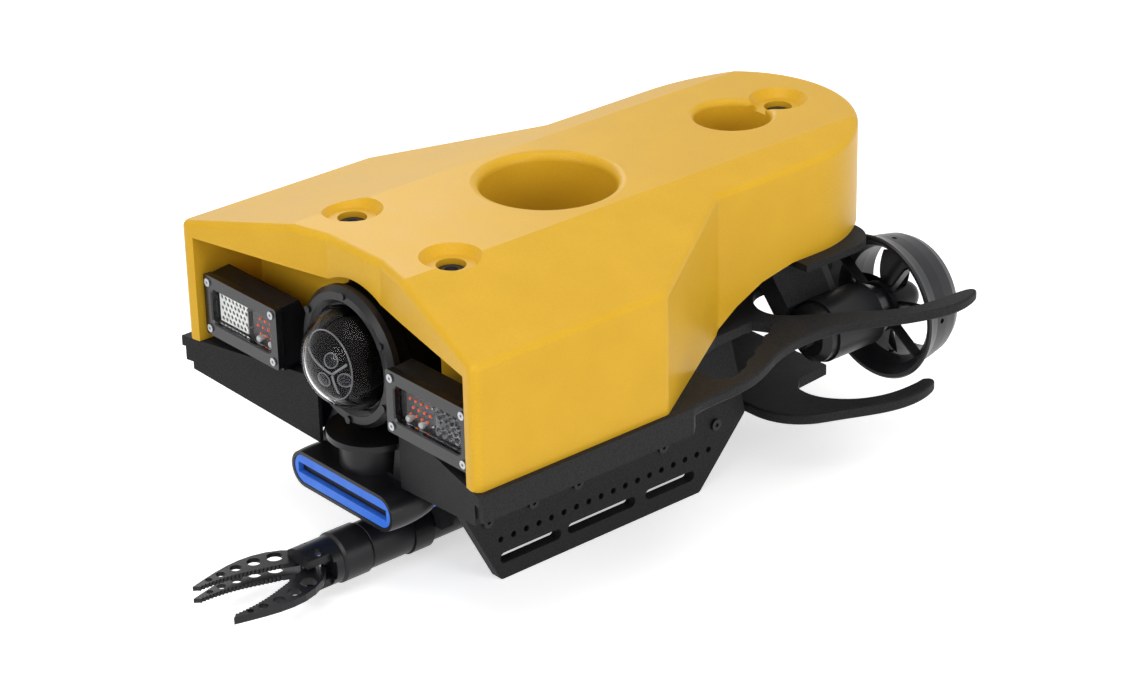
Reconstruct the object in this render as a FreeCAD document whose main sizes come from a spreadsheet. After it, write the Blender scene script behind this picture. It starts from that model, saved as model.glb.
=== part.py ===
import FreeCAD, Part
import math
import os
import re
import Sketcher

# Underwater inspection vehicle.
# Every piece is drawn in the float's own frame: x to port, y aft from the float's front corners,
# z up from the float's flat bottom. Each piece is then placed so that the origin of the whole
# vehicle is at the middle of its length, at the height that the skids stand on.

V = FreeCAD.Vector
doc = FreeCAD.newDocument("InspectionVehicle")

SIZES = {
    # overall placing
    "ride_height": 149.0,
    "keel_mid": 206.3,
    # float
    "float_half": 178.0,
    "float_side": 185.0,
    "taper_end": 307.0,
    "tail_half": 101.4,
    "tail_y": 417.3,
    "float_top": 122.8,
    "shoulder_z": 99.1,
    "plateau_half": 68.4,
    "nose_y": 25.1,
    "recess_half": 32.4,
    "recess_y": 34.0,
    "float_wall": 14.0,
    "pocket_roof": 88.0,
    "pocket_end": 66.0,
    "camera_bay_end": 152.0,
    "camera_bay_gap": 4.0,
    "tail_lift": 35.0,
    "lift_start": 303.0,
    "lift_end": 388.0,
    "edge_r": 7.0,
    "duct_y": 223.6,
    "duct_r": 53.4,
    "duct_rim": 7.0,
    "well_y": 418.0,
    "well_r": 31.0,
    "well_rim": 5.0,
    "bolt_x": 59.3,
    "bolt_y": 79.2,
    "rear_bolt_y": 469.0,
    "dish_r": 24.0,
    "dish_bevel": 6.0,
    "channel_half": 7.0,
    "dish_deep": 7.0,
    "bolt_r": 11.4,
    "bolt_head_z": 96.0,
    # chassis plate and its guard arms
    "plate_thick": 8.5,
    "arm_edge_r": 2.0,
    "skirt_half": 183.0,
    "skirt_deep": 22.0,
    "skirt_wall": 9.0,
    "skirt_end": 206.0,
    "scallop_r": 12.5,
    "scallop_pitch": 21.5,
    # tail deck
    "deck_thick": 6.0,
    "deck_half": 113.0,
    "deck_start": 392.0,
    "deck_end": 476.0,
    "deck_corner": 30.0,
    "web_thick": 8.0,
    "web_x": 48.0,
    # skids and lower plate
    "skid_inner": 70.0,
    "skid_thick": 10.0,
    "lower_mid": 93.5,
    "lower_thick": 9.0,
    "hole_pitch": 12.7,
    "hole_r": 2.6,
    "hole_first": 101.0,
    "hole_z": 114.0,
    "slot_z": 131.0,
    "slot_high": 9.0,
    "skid_screw_r": 2.5,
    # lights
    "light_in": 67.0,
    "light_out": 161.0,
    "light_low": 7.0,
    "light_high": 58.0,
    "bezel_y": 8.5,
    "bezel_thick": 6.0,
    "window_in": 76.0,
    "window_out": 152.0,
    "window_low": 18.0,
    "window_high": 47.0,
    "light_screw_inset": 6.0,
    "light_screw_r": 2.4,
    "light_back": 46.0,
    "lamp_split": 114.0,
    # camera
    "camera_z": 37.0,
    "camera_y": 31.8,
    "dome_r": 41.0,
    "dome_wall": 3.0,
    "ring_band": 15.0,
    "ring_thick": 9.0,
    "bottle_band": 9.0,
    "bottle_wall": 5.0,
    "camera_back": 138.0,
    "head_r": 29.0,
    "trunnion_r": 3.0,
    "run_gap": 0.06,
    # sonar
    "sonar_half": 62.5,
    "sonar_face_y": 12.0,
    "sonar_low": 86.0,
    "sonar_brow": 56.0,
    "sonar_top": 27.0,
    "sonar_back": 54.0,
    "visor_r": 36.0,
    "visor_y": 45.0,
    "blue_back": 122.0,
    # gripper
    "grip_z": 124.5,
    "grip_r": 20.4,
    "barrel_r": 19.0,
    "spindle_r": 8.0,
    "rod_r": 3.9,
    "barrel_end": 150.0,
    "clevis_pin_y": 20.0,
    "clevis_pin_x": 9.0,
    "jaw_len": 92.0,
    "jaw_thick": 6.0,
    # thrusters
    "thruster_x": 106.0,
    "thruster_z": 31.0,
    "nozzle_y": 478.0,
    "nozzle_len": 45.0,
    "nozzle_lip_r": 61.4,
    "nozzle_tail_r": 48.3,
    "nozzle_bore": 45.0,
    "pod_r": 26.0,
    "strut_inner": 66.0,
    "strut_outer": 92.0,
    "pod_start": 400.0,
    "pod_end": 462.0,
    "hub_r": 13.0,
    "shaft_r": 4.0,
    "blade_r": 44.0,
    # electronics
    "bottle_z": 49.0,
    "can_r": 36.0,
    "can_start": 146.0,
    "can_end": 330.0,
    # running gap between pieces that do not touch
    "seat_gap": 0.3,
}

sheet = doc.addObject("Spreadsheet::Sheet", "Sizes")
for row, (alias, number) in enumerate(SIZES.items(), start=1):
    sheet.set(f"A{row}", alias)
    sheet.set(f"B{row}", str(number))
    sheet.setAlias(f"B{row}", alias)
doc.recompute()


def bound(text):
    """A sheet expression: every size's name gets the sheet's name before it."""
    return re.sub(r"[a-z_]+", lambda word: f"Sizes.{word[0]}" if word[0] in SIZES else word[0], str(text))


def size(text):
    """The number that an expression of the sheet's names gives."""
    return float(sheet.evalExpression(bound(text)))


# radii that grow with the camera's dome: its clamp ring, its bottle and the bay in the float
RING_R = "(dome_r + ring_band)"
BOTTLE_R = "(dome_r + bottle_band)"
BAY_R = "(dome_r + ring_band + camera_bay_gap)"


# ---------------------------------------------------------------- drawing helpers

def place(piece, x="0", y="0", z="0"):
    """Moves a piece from the float's frame, where it starts at x, y, z, to the vehicle's frame."""
    piece.setExpression(".Placement.Base.x", bound(x))
    piece.setExpression(".Placement.Base.y", bound(f"{y} - keel_mid"))
    piece.setExpression(".Placement.Base.z", bound(f"{z} + ride_height"))
    return piece


def new_body(label, x="0", y="0", z="0"):
    body = doc.addObject("PartDesign::Body", label)
    body.Label = label
    return place(body, x, y, z)


def origin_item(body, role):
    return next(item for item in body.Origin.OriginFeatures if item.Role == role)


def sketch_on(body, plane, offset="0"):
    """A sketch on one of the body's planes. XZ_Plane faces -y, YZ_Plane faces +x."""
    sketch = body.newObject("Sketcher::SketchObject", "Sketch")
    sketch.AttachmentSupport = (origin_item(body, plane), [""])
    sketch.MapMode = "FlatFace"
    sketch.setExpression(".AttachmentOffset.Base.z", bound(offset))
    return sketch


def pin_point(sketch, geometry, point, x, y):
    """Holds one point of a sketch at two expressions of the sheet."""
    for kind, text in (("DistanceX", x), ("DistanceY", y)):
        number = sketch.addConstraint(Sketcher.Constraint(kind, geometry, point, size(text)))
        sketch.setExpression(f"Constraints[{number}]", bound(text))


def outline(sketch, points):
    """A closed outline of straight lines through points given as expressions."""
    first = sketch.GeometryCount
    corners = [V(size(x), size(y), 0) for x, y in points]
    count = len(corners)
    for index in range(count):
        sketch.addGeometry(Part.LineSegment(corners[index], corners[(index + 1) % count]), False)
    for index in range(count):
        following = first + (index + 1) % count
        sketch.addConstraint(Sketcher.Constraint("Coincident", first + index, 2, following, 1))
    for index, (x, y) in enumerate(points):
        pin_point(sketch, first + index, 1, x, y)


def ring(sketch, x, y, radius):
    """A circle with its centre and radius held by expressions."""
    index = sketch.GeometryCount
    sketch.addGeometry(Part.Circle(V(size(x), size(y), 0), V(0, 0, 1), size(radius)), False)
    pin_point(sketch, index, 3, x, y)
    number = sketch.addConstraint(Sketcher.Constraint("Radius", index, size(radius)))
    sketch.setExpression(f"Constraints[{number}]", bound(radius))


def box_points(x_low, x_high, y_low, y_high):
    return [(x_low, y_low), (x_high, y_low), (x_high, y_high), (x_low, y_high)]


def pad(body, sketch, length, against=False, both=False):
    feature = body.newObject("PartDesign::Pad", "Pad")
    feature.Profile = sketch
    feature.setExpression("Length", bound(length))
    feature.Reversed = against
    feature.Midplane = both
    sketch.Visibility = False
    return feature


def cut(body, sketch, length, against=False, both=False):
    """A pocket. It goes against the sketch's normal unless it is reversed."""
    feature = body.newObject("PartDesign::Pocket", "Pocket")
    feature.Profile = sketch
    feature.setExpression("Length", bound(length))
    feature.Reversed = against
    feature.Midplane = both
    return feature


def revolve(body, points, axis="Y_Axis", plane="YZ_Plane"):
    """A turned piece: an outline on one of the planes that hold the axis."""
    sketch = sketch_on(body, plane)
    outline(sketch, points)
    feature = body.newObject("PartDesign::Revolution", "Turned")
    feature.Profile = sketch
    feature.ReferenceAxis = (origin_item(body, axis), [""])
    feature.Angle = 360
    return feature


def edges_where(shape, test):
    return [f"Edge{index}" for index, edge in enumerate(shape.Edges, start=1) if test(edge)]


def soften(body, radius, test, kind="PartDesign::Fillet", amount="Radius"):
    """Rounds or chamfers the edges of the body's last feature that pass a test."""
    doc.recompute()
    base = body.Tip
    names = edges_where(base.Shape, test)
    feature = body.newObject(kind, "Softened")
    feature.Base = (base, names)
    feature.setExpression(amount, bound(radius))
    doc.recompute()
    return feature


def along(edge, axis):
    """True for a straight edge that runs along axis, such as (0, 0, 1)."""
    if edge.Curve.TypeId != "Part::GeomLine":
        return False
    return abs(edge.tangentAt(edge.FirstParameter).dot(V(*axis))) > 0.999


def middle(edge):
    return edge.CenterOfMass


def shaped(label, shape, **at):
    """A sub-part from a finished shape, whose solids keep the places they were moved to."""
    piece = doc.addObject("Part::Feature", label)
    piece.Label = label
    piece.Shape = Part.makeCompound(shape.Solids)
    place(piece, **at)
    return piece


def wire(points):
    return Part.makePolygon([V(*p) for p in points] + [V(*points[0])])


def prism(points, travel):
    """A straight prism from a closed outline of 3-D points."""
    return Part.Face(wire(points)).extrude(V(*travel))


def cylinder(radius, length, base, axis):
    return Part.makeCylinder(radius, length, V(*base), V(*axis))


# ---------------------------------------------------------------- float

BOLT_PLACES = [("bolt_x", "bolt_y"), ("-bolt_x", "bolt_y"), ("0", "rear_bolt_y")]


def make_float():
    """Yellow foam float: a tapered block with a hipped top, a hollow nose and two wells."""
    body = new_body("float_block")
    plan = sketch_on(body, "XY_Plane")
    half = [
        ("recess_half", "recess_y"), ("plateau_half", "nose_y"), ("float_half", "0"),
        ("float_half", "float_side"), ("tail_half", "taper_end"), ("tail_half", "tail_y"),
    ]
    count = len(half)
    points = half + [(f"-{x}", y) for x, y in reversed(half)]
    corners = [V(size(x), size(y), 0) for x, y in points]
    # the two ends of the tail's half circle are the points count - 1 and count
    order = [index for index in range(len(points)) if index != count - 1]
    for index in order:
        plan.addGeometry(Part.LineSegment(corners[index], corners[(index + 1) % len(points)]), False)
    tail = plan.GeometryCount
    centre = V(0, size("tail_y"), 0)
    circle = Part.Circle(centre, V(0, 0, 1), size("tail_half"))
    plan.addGeometry(Part.ArcOfCircle(circle, 0, math.pi), False)
    for spot, index in enumerate(order):
        pin_point(plan, spot, 1, *points[index])
    last_line = order.index(count - 2)
    plan.addConstraint(Sketcher.Constraint("Coincident", last_line, 2, tail, 1))
    plan.addConstraint(Sketcher.Constraint("Coincident", order.index(count), 1, tail, 2))
    pin_point(plan, tail, 3, "0", "tail_y")
    for spot in range(len(order) - 1):
        if spot != last_line:
            plan.addConstraint(Sketcher.Constraint("Coincident", spot, 2, spot + 1, 1))
    plan.addConstraint(Sketcher.Constraint("Coincident", len(order) - 1, 2, 0, 1))
    pad(body, plan, "float_top")

    roof = sketch_on(body, "XZ_Plane")
    eaves_z = "shoulder_z - 10 * (float_top - shoulder_z) / (float_half - plateau_half)"
    for side in ("", "-"):
        outline(roof, [
            (f"{side}plateau_half", "float_top"), (f"{side}(float_half + 10)", "float_top"),
            (f"{side}(float_half + 10)", eaves_z),
        ])
    cut(body, roof, "1300", both=True)

    under = sketch_on(body, "YZ_Plane")
    outline(under, [
        ("lift_start", "0"), ("lift_start + 24", "tail_lift * 0.46"), ("lift_start + 52", "tail_lift * 0.82"),
        ("lift_end", "tail_lift"), ("tail_y + tail_half + 20", "tail_lift"),
        ("tail_y + tail_half + 20", "-5"), ("lift_start", "-5"),
    ])
    cut(body, under, "800", both=True)

    edge_z = size("shoulder_z") - 30
    soften(body, "edge_r", lambda edge: along(edge, (0, 0, 1)) and middle(edge).z > 20)
    soften(body, "edge_r * 0.8", lambda edge: middle(edge).z > edge_z and not (
        abs(abs(middle(edge).x) - size("plateau_half")) < 1 and along(edge, (0, 1, 0))))

    nose = sketch_on(body, "XZ_Plane")
    outline(nose, box_points("-(float_half - float_wall)", "float_half - float_wall", "-2", "pocket_roof"))
    cut(body, nose, "2 * pocket_end", both=True)
    bay = sketch_on(body, "XZ_Plane")
    ring(bay, "0", "camera_z", BAY_R)
    cut(body, bay, "2 * camera_bay_end", both=True)
    floor = sketch_on(body, "XZ_Plane")
    outline(floor, box_points(f"-{BAY_R}", BAY_R, "-2", "camera_z"))
    cut(body, floor, "2 * camera_bay_end", both=True)

    for x, y in BOLT_PLACES:
        dish = body.newObject("PartDesign::SubtractiveCone", "Dish")
        dish.setExpression("Radius1", bound("dish_r - dish_bevel"))
        dish.setExpression("Radius2", bound("dish_r + dish_bevel"))
        dish.setExpression("Height", bound("2 * dish_deep"))
        dish.setExpression("Placement.Base.x", bound(x))
        dish.setExpression("Placement.Base.y", bound(y))
        dish.setExpression("Placement.Base.z", bound("float_top - dish_deep"))
    wells = sketch_on(body, "XY_Plane")
    ring(wells, "0", "duct_y", "duct_r")
    ring(wells, "0", "well_y", "well_r")
    for x, y in BOLT_PLACES:
        ring(wells, x, y, "bolt_r")
    cut(body, wells, "3 * float_top", both=True)

    def top_rim(radius):
        def test(edge):
            return (edge.Curve.TypeId == "Part::GeomCircle" and abs(middle(edge).z - size("float_top")) < 0.5
                    and abs(edge.Curve.Radius - size(radius)) < 0.1)
        return test

    for radius, rim in (("duct_r", "duct_rim"), ("well_r", "well_rim")):
        soften(body, rim, top_rim(radius))
    channel = sketch_on(body, "XY_Plane", "float_top - dish_deep")
    outline(channel, box_points("-channel_half", "channel_half", "well_y", "rear_bolt_y"))
    cut(body, channel, "dish_deep + 5", against=True)
    return body


def make_float_screws():
    """Three long socket bolts, sunk in the float's dishes, that hold it to the chassis."""
    screws = []
    for (x, y), foot in zip(BOLT_PLACES, ("0", "0", "tail_lift")):
        spot = (size(x), size(y), size("bolt_head_z"))
        one = cylinder(size("bolt_r") - size("seat_gap"), 10, spot, (0, 0, 1))
        one = one.cut(cylinder(4.0, 6, (spot[0], spot[1], spot[2] + 5), (0, 0, 1)))
        shank = cylinder(4.0, spot[2] - size(foot), (spot[0], spot[1], size(foot)), (0, 0, 1))
        screws.append(one.fuse(shank))
    return shaped("float_screws", Part.makeCompound(screws))


# ---------------------------------------------------------------- chassis and skids

# along the skid: where each slot starts and ends, and where the screws into the lower plate are
SKID_SLOTS = [(100, 161), (168, 238), (249, 301)]
SKID_SCREWS = [88, 133, 178, 267, 324]


def both_sides(runs, z):
    """A closed wire from the port half's runs, each (kind, points), and their mirror to starboard.

    A "line" run joins its points by straight edges and a "curve" run by a chain of tangent arcs.
    The first and last points of the half are joined straight across the middle line.
    """
    edges = []
    for side in (1, -1):
        for kind, points in runs:
            spots = [V(side * x, y, z) for x, y in points]
            if kind == "curve":
                smooth = Part.BSplineCurve()
                smooth.interpolate(spots)
                edges += [arc.toShape() for arc in smooth.toBiArcs(0.4)]
            else:
                edges += [Part.makeLine(one, two) for one, two in zip(spots, spots[1:])]
    for x, y in (runs[0][1][0], runs[-1][1][-1]):
        edges.append(Part.makeLine(V(x, y, z), V(-x, y, z)))
    return Part.Wire(Part.__sortEdges__(edges))


def rounded_arms(plate, start, radius):
    """Rounds the long curved edges of a plate's guard arms, from y = start to their tips."""
    edges = [edge for edge in plate.Edges if edge.Curve.TypeId in ("Part::GeomCircle", "Part::GeomBSplineCurve")
             and edge.BoundBox.YMin > start and edge.BoundBox.ZLength < 0.01 and abs(middle(edge).x) > 72
             and abs(getattr(edge.Curve, "Radius", 0) - size("scallop_r")) > 0.01]
    return plate.makeFillet(radius, edges)


def make_chassis():
    """One plate under the float, with a skirt at its sides and two curved guard arms behind."""
    half, wall, end = size("skirt_half"), size("skirt_wall"), size("skirt_end")
    thick, deep = size("plate_thick"), size("skirt_deep")
    arm_outer = [(half, end), (179, 232), (178, 262), (170, 292), (156, 326), (152, 359), (155, 384),
                 (165, 410), (180, 440), (189, 466), (191, 490), (187, 507)]
    arm_tip = [(187, 507), (181.5, 513), (176.5, 507)]
    arm_inner = [(176.5, 507), (174.5, 488), (171, 460), (160, 434), (145, 413), (131, 394), (117, 373),
                 (100, 362), (86, 364), (74, 371), (66, 382), (64, 395)]
    plan = both_sides([
        ("line", [(54, 150), (54, 30), (half, -1), (half, end)]), ("curve", arm_outer), ("curve", arm_tip),
        ("curve", arm_inner), ("line", [(64, 395), (64, 470), (56, 476)]),
    ], -thick)
    plate = Part.Face(plan).extrude(V(0, 0, thick))
    skirts = []
    for side in (1, -1):
        grip = [(122, 250), (157, 250), (165, 262), (163, 272), (118, 350), (104, 342), (106, 300)]
        plate = plate.cut(prism([(side * x, y, -30) for x, y in grip], (0, 0, 60)))
        for number in range(4):
            step = number * size("scallop_pitch")
            spot = (side * (148.5 - step * 0.5), 276 + step * 0.87, -30)
            plate = plate.cut(cylinder(size("scallop_r"), 60, spot, (0, 0, 1)))
        skirts.append(prism([
            (side * half, 2, -deep), (side * half, end, -deep), (side * (half - wall), end + 10, -deep),
            (side * (half - wall), 4, -deep),
        ], (0, 0, deep - thick / 2)))
    mouth = cylinder(size("duct_r"), 60, (0, size("duct_y"), -30), (0, 0, 1))
    plate = plate.fuse(skirts).cut(mouth).removeSplitter()
    return shaped("chassis_plate", rounded_arms(plate, end + 5, size("arm_edge_r")))


def make_chins():
    """Two sloping fairings under the light modules, which meet the skirt at the front corners."""
    solids = []
    top = -size("plate_thick")
    corner = size("skirt_half") - size("skirt_wall")
    for side in (1, -1):
        inner, outer = side * 50, side * corner
        front = prism([
            (inner, -20, -55.5), (outer, -20, -27), (outer, -20, top), (inner, -20, top),
        ], (0, 120, 0))
        plan = prism([
            (inner, 31, -80), (outer, 2.2, -80), (outer, 22, -80), (side * 90, 46, -80), (inner, 58, -80),
        ], (0, 0, 90))
        low = min(side * 40, side * 64)
        room = Part.makeBox(24, 60, 60, V(low, 34.2, -80))
        solids.append(front.common(plan).cut(room))
    return shaped("front_chins", Part.makeCompound(solids))


def make_tail_deck():
    """The raised deck that carries the float's tail, on two webs that stand on the chassis."""
    body = new_body("tail_deck")
    plan = sketch_on(body, "XY_Plane", "tail_lift - deck_thick")
    outline(plan, box_points("-deck_half", "deck_half", "deck_start", "deck_end"))
    pad(body, plan, "deck_thick")
    soften(body, "deck_corner", lambda edge: along(edge, (0, 0, 1)) and middle(edge).y > size("deck_end") - 1)
    webs = sketch_on(body, "XY_Plane")
    for side in ("", "-"):
        outline(webs, box_points(f"{side}(web_x)", f"{side}(web_x - web_thick)", "deck_start + 2",
                                 "deck_end - 8"))
    pad(body, webs, "tail_lift - deck_thick / 2")
    return body


def make_skid(side):
    """A vertical side plate with a raked nose, a row of accessory holes and three slots."""
    name = "port" if side > 0 else "starboard"
    body = new_body(f"{name}_skid")
    face = sketch_on(body, "YZ_Plane", "skid_inner" if side > 0 else "-(skid_inner + skid_thick)")
    outline(face, [
        ("58", "-plate_thick"), ("58", "-68"), ("100", "-ride_height"), ("307", "-ride_height"),
        ("357", "-lower_mid"), ("350", "-60"), ("338", "-plate_thick"),
    ])
    pad(body, face, "skid_thick")
    soften(body, "4", lambda edge: along(edge, (1, 0, 0)) and middle(edge).z < -20)
    holes = sketch_on(body, "YZ_Plane")
    for number in range(18):
        ring(holes, f"hole_first + {number} * hole_pitch", "-hole_z", "hole_r")
    cut(body, holes, "400", both=True)
    slots = sketch_on(body, "YZ_Plane")
    for low, high in SKID_SLOTS:
        outline(slots, box_points(str(low), str(high), "-slot_z - slot_high / 2", "-slot_z + slot_high / 2"))
    cut(body, slots, "400", both=True)
    soften(body, "slot_high / 2 - 0.4", lambda edge: along(edge, (1, 0, 0))
           and abs(abs(middle(edge).z + size("slot_z")) - size("slot_high") / 2) < 0.1)
    screws = sketch_on(body, "YZ_Plane")
    for y in SKID_SCREWS:
        ring(screws, str(y), "-lower_mid", "skid_screw_r + seat_gap")
    cut(body, screws, "400", both=True)
    return body


def make_lower_plate():
    """The plate between the skids, with two lower guard arms that sweep under the thrusters."""
    inner, thick = size("skid_inner"), size("lower_thick")
    low = -size("lower_mid") - thick / 2
    root = inner + 12
    plan = both_sides([
        ("line", [(inner, 84), (inner, 362), (root, 362)]),
        ("curve", [(root, 362), (104, 366), (121, 377), (136, 403), (150, 434), (158, 461), (158, 482),
                   (154, 497)]),
        ("curve", [(154, 497), (148, 503.5), (141.5, 498)]),
        ("curve", [(141.5, 498), (143, 480), (140, 455), (130, 433), (114, 418), (98, 412), (84, 413)]),
        ("line", [(84, 413), (74, 424), (71, 458)]),
    ], low)
    plate = rounded_arms(Part.Face(plan).extrude(V(0, 0, thick)), 350, size("arm_edge_r"))
    for y in SKID_SCREWS:
        plate = plate.cut(cylinder(size("skid_screw_r"), 400, (-200, y, -size("lower_mid")), (1, 0, 0)))
    core = Part.makeBox(2 * inner - 32, 282, thick, V(16 - inner, 84, low))
    plate = plate.fuse(core)
    for start, end in ((176, 236), (256, 318)):
        plate = plate.cut(Part.makeBox(68, end - start, 40, V(-34, start, low - 10)))
    return shaped("lower_guard_plate", plate.removeSplitter())


def make_skid_screws():
    """Button-head screws through the skids into the edges of the lower plate."""
    solids = []
    reach = size("skid_inner") + size("skid_thick")
    for side in (1, -1):
        for y in SKID_SCREWS:
            z = -size("lower_mid")
            shank = cylinder(size("skid_screw_r") - 0.05, size("skid_thick") + 13,
                             (side * (reach + 0.3), y, z), (-side, 0, 0))
            head = cylinder(size("skid_screw_r") * 1.9, 2.4, (side * (reach + 0.1), y, z), (side, 0, 0))
            socket = cylinder(size("skid_screw_r") * 0.7, 1.5, (side * (reach + 1.2), y, z), (side, 0, 0))
            solids.append(head.fuse(shank).cut(socket))
    return shaped("skid_screws", Part.makeCompound(solids))


# ---------------------------------------------------------------- lights

# the four corners of a bezel, as port-side x and z
LIGHT_SCREWS = [(x, z) for x in ("light_in + light_screw_inset", "light_out - light_screw_inset")
                for z in ("light_low + light_screw_inset", "light_high - light_screw_inset")]


def make_light(side):
    """One light module: bezel, glass, housing, reflector block and lamp board."""
    name = "port" if side > 0 else "starboard"
    sign = "" if side > 0 else "-"
    bezel_back = "bezel_y + bezel_thick"

    bezel = new_body(f"{name}_light_bezel")
    face = sketch_on(bezel, "XZ_Plane", "-bezel_y")
    outline(face, box_points(f"{sign}light_in", f"{sign}light_out", "light_low", "light_high"))
    pad(bezel, face, "bezel_thick", against=True)
    soften(bezel, "2.5", lambda edge: along(edge, (0, 1, 0)))
    opening = sketch_on(bezel, "XZ_Plane")
    outline(opening, box_points(f"{sign}window_in", f"{sign}window_out", "window_low", "window_high"))
    cut(bezel, opening, "200", both=True)
    soften(bezel, "5", lambda edge: along(edge, (0, 1, 0)) and size("window_low") - 1 < middle(edge).z
           < size("window_high") + 1 and abs(middle(edge).x) > size("light_in") + 5
           and abs(middle(edge).x) < size("light_out") - 5)
    seats = sketch_on(bezel, "XZ_Plane")
    for x, z in LIGHT_SCREWS:
        ring(seats, f"{sign}({x})", z, "light_screw_r")
    cut(bezel, seats, "200", both=True)
    soften(bezel, "1", lambda edge: abs(middle(edge).y - size("bezel_y")) < 0.1
           and edge.Curve.TypeId == "Part::GeomCircle" and abs(edge.Curve.Radius - size("light_screw_r")) > 0.5,
           "PartDesign::Chamfer", "Size")

    housing = new_body(f"{name}_light_housing")
    start = "light_in + 2" if side > 0 else "-(light_out - 2)"
    profile = sketch_on(housing, "YZ_Plane", start)
    outline(profile, [
        (bezel_back, "light_low + 1"), (bezel_back, "light_high - 1"), ("32", "light_high + 1"),
        ("light_back", "30"), ("light_back", "light_low + 1"),
    ])
    pad(housing, profile, "light_out - light_in - 4")
    hollow = sketch_on(housing, "XZ_Plane", f"-({bezel_back})")
    outline(hollow, box_points(f"{sign}window_in", f"{sign}window_out", "window_low", "window_high"))
    cut(housing, hollow, "22")
    holes = sketch_on(housing, "XZ_Plane", f"-({bezel_back})")
    for x, z in LIGHT_SCREWS:
        ring(holes, f"{sign}({x})", z, "light_screw_r - 0.4")
    cut(housing, holes, "12")

    feet = sketch_on(housing, "XY_Plane")
    for low, high in (("light_in + 10", "light_in + 24"), ("light_out - 24", "light_out - 10")):
        outline(feet, box_points(f"{sign}({low})", f"{sign}({high})", "light_back - 26", "light_back - 4"))
    pad(housing, feet, "light_low + 3")

    glass = new_body(f"{name}_light_window")
    pane = sketch_on(glass, "XZ_Plane", f"-({bezel_back} - 2)")
    outline(pane, box_points(f"{sign}(window_in + seat_gap)", f"{sign}(window_out - seat_gap)",
                             "window_low + seat_gap", "window_high - seat_gap"))
    pad(glass, pane, "2", against=True)
    soften(glass, "4.8", lambda edge: along(edge, (0, 1, 0)))

    reflector = new_body(f"{name}_reflector")
    block = sketch_on(reflector, "XZ_Plane", f"-({bezel_back} + 12)")
    outline(block, box_points(f"{sign}(lamp_split + 1)", f"{sign}(window_out - 1)", "window_low + 1",
                              "window_high - 1"))
    pad(reflector, block, "10", against=True)
    cells = sketch_on(reflector, "XZ_Plane", f"-({bezel_back} + 12)")
    for row in range(4):
        for column in range(5):
            shift = 3.5 if row % 2 else 0
            across = 5.5 + column * 6.9 + shift
            ring(cells, f"{sign}(lamp_split + {across})", f"window_low + {4.6 + row * 6.6}", "2.9")
    cut(reflector, cells, "7")

    board = new_body(f"{name}_led_board")
    sheet_face = sketch_on(board, "XZ_Plane", f"-({bezel_back} + 16)")
    outline(sheet_face, box_points(f"{sign}(window_in + 1)", f"{sign}(lamp_split - 1)", "window_low + 1",
                                   "window_high - 1"))
    pad(board, sheet_face, "6", against=True)
    return [bezel, housing, glass, reflector, board]


def make_light_screws():
    """Eight screws that hold the two bezels to their housings."""
    solids = []
    for side in (1, -1):
        for x, z in LIGHT_SCREWS:
            spot = (side * size(x), size("bezel_y") - 1.2, size(z))
            head = cylinder(size("light_screw_r") + 0.9, 1.1, spot, (0, 1, 0))
            shank = cylinder(size("light_screw_r") - 0.5, size("bezel_thick") + 9, spot, (0, 1, 0))
            socket = cylinder(1.1, 0.8, spot, (0, 1, 0))
            solids.append(head.fuse(shank).cut(socket))
    return shaped("light_screws", Part.makeCompound(solids))


# ---------------------------------------------------------------- camera

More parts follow.
